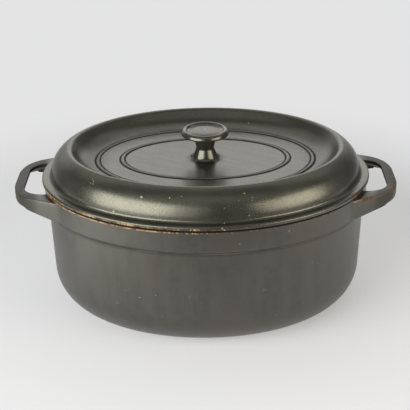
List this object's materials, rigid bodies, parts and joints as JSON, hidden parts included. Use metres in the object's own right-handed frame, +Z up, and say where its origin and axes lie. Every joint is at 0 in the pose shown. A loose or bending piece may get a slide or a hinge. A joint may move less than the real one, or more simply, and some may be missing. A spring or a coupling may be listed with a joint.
{
  "type": "dutch oven",
  "caption": "Oval cast-iron dutch oven in dark satin enamel, with loop handles cast on the pot, a lift-off lid with a rolled edge and sunk beaded panel, and a mushroom knob.",
  "frame": {"origin": "middle of the pot's flat base, on the surface that it stands on", "axes": "+X along the long side, through both handles; +Z up; the front of the picture is the -Y side"},
  "size_m": [0.3716, 0.261, 0.1789],
  "materials": {
    "pot_enamel": "satin dark grey enamel on cast iron, worn to rust along the rim and handle edges",
    "lid_enamel": "satin dark grey enamel on cast iron, with a fine grain and small chips",
    "knob_enamel": "satin dark grey enamel on cast iron",
    "steel": "bare steel"
  },
  "bodies": {
    "pot": {"pot": "pot_enamel"},
    "lid": {"lid": "lid_enamel", "knob": "knob_enamel", "knob_screw": "steel", "knob_washer": "steel"}
  },
  "joints": [
    {"name": "lid_lift", "type": "slide", "parent": "pot", "child": "lid", "axis": [0, 0, 1], "range_m": [0, 0.12]}
  ]
}
